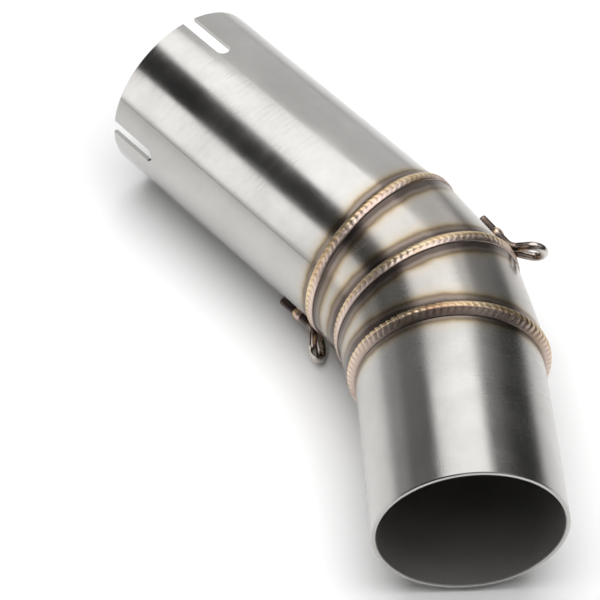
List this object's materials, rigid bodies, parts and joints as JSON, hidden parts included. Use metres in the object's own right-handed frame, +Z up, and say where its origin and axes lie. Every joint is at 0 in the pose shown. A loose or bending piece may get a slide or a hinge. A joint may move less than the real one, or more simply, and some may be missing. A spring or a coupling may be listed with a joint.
{
  "type": "exhaust mid pipe",
  "caption": "Short welded motorcycle exhaust mid pipe: slotted slip tube, two mitred bend segments, outlet tube, rippled weld beads and two wire hooks for the silencer springs",
  "frame": {"origin": "the centre of the outlet mouth, on the axis of the outlet tube", "axes": "the outlet tube runs along +Y from its mouth, so the pipe after it leaves along -Y; the bend lies in the XY plane and turns towards -X; +Z is up with the pipe lying on its side"},
  "size_m": [0.1422, 0.2129, 0.066],
  "materials": {
    "stainless_tube": "bright drawn stainless tube, lightly polished, with brown and blue heat tint beside the welds",
    "weld_metal": "rippled stainless weld metal, tinted straw gold",
    "hook_wire": "stainless wire, heat tinted dark brown"
  },
  "bodies": {
    "root": {"slip_tube": "stainless_tube", "bend_segment_upper": "stainless_tube", "bend_segment_lower": "stainless_tube", "outlet_tube": "stainless_tube", "weld_bead_slip": "weld_metal", "weld_bead_mitre": "weld_metal", "weld_bead_outlet": "weld_metal", "hook_outer": "hook_wire", "hook_inner": "hook_wire", "tack_weld_outer": "weld_metal", "tack_weld_inner": "weld_metal"}
  },
  "joints": []
}
